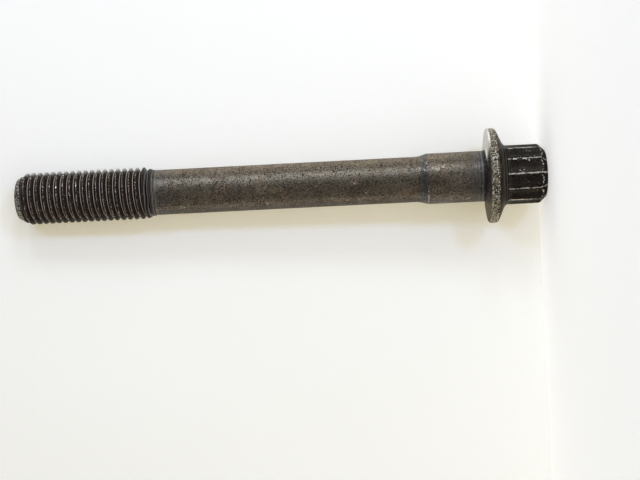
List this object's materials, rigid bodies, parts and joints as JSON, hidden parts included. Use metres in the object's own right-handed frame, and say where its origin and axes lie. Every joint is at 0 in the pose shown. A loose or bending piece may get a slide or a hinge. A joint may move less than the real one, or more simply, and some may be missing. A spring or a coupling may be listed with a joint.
{
  "type": "cylinder head bolt",
  "caption": "Flange bolt for a cylinder head: twelve-point head, cone-topped flange, locating shoulder, reduced shank and a right-hand thread at the far end.",
  "frame": {"origin": "centre of the head's flat end face, on which the bolt stands", "axes": "+Z along the bolt's axis from the head to the end of the thread; +X through one of the head's points"},
  "size_m": [0.0214, 0.0214, 0.12],
  "materials": {
    "darkened_steel": "oil-black heat-treated steel, mottled and lightly rusted, worn bright on the flange rim and the head's edges"
  },
  "bodies": {
    "root": {"head_bolt": "darkened_steel"}
  },
  "joints": []
}
